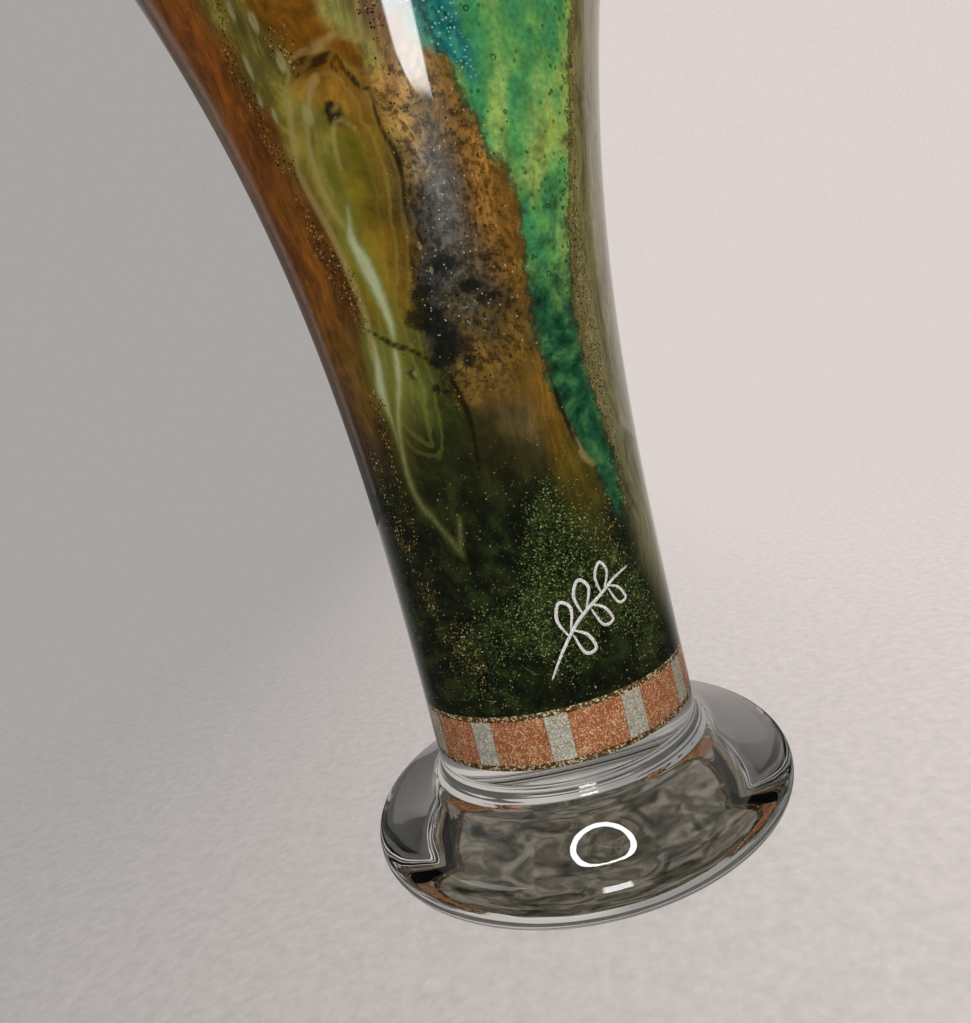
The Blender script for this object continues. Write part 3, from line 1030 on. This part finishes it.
# The glass keeps a hair's breadth of air under it, which is what makes its base a mirror from inside
room_z = np.concatenate([np.zeros(FLOOR_ROWS), cove_z, [WALL_TOP]]) - 0.3 * MM
pole = [[0, ROOM_TURNS + (j + 1) % ROOM_TURNS, ROOM_TURNS + j] for j in range(ROOM_TURNS)]
room = stage_piece("studio_sweep", around(room_r[:, None], full_turn(ROOM_TURNS), room_z[:, None]),
                   grid_faces(len(room_r), ROOM_TURNS)[ROOM_TURNS:].tolist() + pole, paper_material())
room.data.polygons.foreach_set("use_smooth", np.ones(len(room.data.polygons), bool))

world = bpy.data.worlds.new("soft_sky")
bpy.context.scene.world = world
world.use_nodes = True
sky = world.node_tree.nodes["Background"]
sky.inputs["Color"].default_value = linear("#f2f0ef")
sky.inputs["Strength"].default_value = 0.55


# %% Lamps, cards and flags
def lamp(name, azimuth, height, distance, aim, size, watts, glossy=False):
    """An area lamp that faces a height on the axis. Azimuths go from the front towards +X, in degrees."""
    data = bpy.data.lights.new(name, "AREA")
    data.shape, data.energy = "RECTANGLE", watts
    data.size, data.size_y = size
    made = bpy.data.objects.new(name, data)
    bpy.context.scene.collection.objects.link(made)
    place = Vector(around(distance, math.radians(azimuth), height))
    turn = (Vector((0, 0, aim)) - place).to_track_quat("-Z", "Y")
    made.matrix_world = Matrix.Translation(place) @ turn.to_matrix().to_4x4()
    made.visible_glossy, made.visible_transmission = glossy, False


def card(name, azimuths, heights, distance, brightness, reach=None, soft=0.14, foot_taper=(0.0, 0.0)):
    """A curved card round the vase that only its gloss sees: it makes the long window highlight, or, unlit, it is
    a black flag that keeps the pale room out of the dark glass. It grows clear towards its sides and its top, as
    the least of the shares of the way in from them, its foot can taper, and with a reach it lies flat."""
    u, v = np.meshgrid(np.linspace(0, 1, 33), np.linspace(0, 1, 65))
    pull = np.clip(1 - v / 0.08, 0, 1) ** 2
    low, high = azimuths[0] + foot_taper[0] * pull, azimuths[1] - foot_taper[1] * pull
    turn, height = np.radians(low + (high - low) * u), heights[0] + (heights[1] - heights[0]) * v
    far = distance + (0 if reach is None else reach - distance) * v
    inward = np.minimum(np.minimum(u, 1 - u), (1 - v) * 0.8) / soft
    inward = np.minimum(inward, v / 0.02 if brightness > 1 else 1.0)
    s = Shader(name)
    lit = s.surface(s.clear(), s.glow(WHITE, brightness), s.field("inward"))
    faces = grid_faces(*u.shape, close_columns=False)[:, ::-1].tolist()
    made = stage_piece(name, around(far, turn, height), faces, lit, GLOSS_ONLY)
    share_in = made.data.attributes.new("inward", "FLOAT", "POINT")
    share_in.data.foreach_set("value", np.clip(inward, 0, 1).ravel())


def ring_lamp(name, centre, beam, inner, outer, brightness):
    """A small oval ring with its half widths across and along, whose light leaves it one way only, along the beam,
    as through a louvre, so that neither the body nor the hollow sweep of the foot mirrors it as well."""
    turn, inset = np.meshgrid(full_turn(96), np.linspace(0, 1, 4))
    across, along = ((a + (b - a) * inset) * wave for a, b, wave in zip(inner, outer, (np.cos(turn), np.sin(turn))))
    points = np.stack([across, -beam[2] * along, beam[1] * along], axis=-1) + centre
    s = Shader(name)
    way = s.vector("DOT_PRODUCT", s.add("NewGeometry", output="Incoming"), beam, output="Value")
    lit = s.surface(s.clear(), s.glow(WHITE, brightness), s.steps(way, 0.980, 0.988, kind="LINEAR"))
    stage_piece(name, points * MM, grid_faces(4, 96).tolist(), lit, GLOSS_ONLY)


lamp("window", 8.5, 0.45, 1.1, 0.20, (0.44, 0.5), 7.5)
lamp("left_soft", -70, 0.9, 1.1, 0.15, (0.7, 0.7), 3.0, glossy=True)
lamp("top_soft", 150, 1.4, 0.5, 0.15, (0.9, 0.9), 6.0)
lamp("back_soft", 195, 0.6, 1.2, 0.17, (0.8, 0.8), 4.5)
card("window_glow", (-2.5, 12.6), (0.197, 0.56), 1.0, 16.0, soft=0.10, foot_taper=(6.5, 0.0))
card("window_sill_glow", (-4, 12), (0.12, 0.20), 1.01, 1.3, soft=0.4)
card("flag_floor", (-150, 150), (0.0002, 0.0002), 0.07, 0.04, reach=1.3, soft=0.12)
card("flag_left", (-131, -3), (-0.0003, 0.8), 0.9, 0.04, soft=0.06)
card("flag_right", (14, 122), (-0.0003, 0.8), 0.9, 0.04, soft=0.06)
card("flag_rim", (-176, -127), (-0.0003, 0.8), 0.91, 0.11, soft=0.2)
card("flag_sill", (-12, 22), (-0.0003, 0.16), 0.92, 0.04, soft=0.25)
# The ring hangs close over the front of the foot. Any higher up the flare would hide it from the foot.
ring_lamp("ring_lamp", (2.0, -45.4, 32.6), (-0.025, -0.306, -0.952), (8.0, 4.4), (9.8, 5.4), 22.0)

# %% Camera
EYE = Vector((0.0, -208.4 * MM, 114.8 * MM))
PITCH, YAW, ROLL = math.radians(6.71), math.radians(-2.06), math.radians(-14.22)
forward = Vector((math.sin(YAW) * math.cos(PITCH), math.cos(YAW) * math.cos(PITCH), -math.sin(PITCH)))
level = Vector((math.cos(YAW), -math.sin(YAW), 0))
upright = level.cross(forward)
right = math.cos(ROLL) * level + math.sin(ROLL) * upright
top = -math.sin(ROLL) * level + math.cos(ROLL) * upright
camera_data = bpy.data.cameras.new("camera")
camera_data.lens, camera_data.sensor_width, camera_data.clip_start = 26.0, 36.0, 0.01
camera = bpy.data.objects.new("camera", camera_data)
bpy.context.scene.collection.objects.link(camera)
camera.matrix_world = Matrix((
    (right.x, top.x, -forward.x, EYE.x),
    (right.y, top.y, -forward.y, EYE.y),
    (right.z, top.z, -forward.z, EYE.z),
    (0, 0, 0, 1)))
bpy.context.scene.camera = camera
bpy.context.scene.view_settings.view_transform = "Standard"
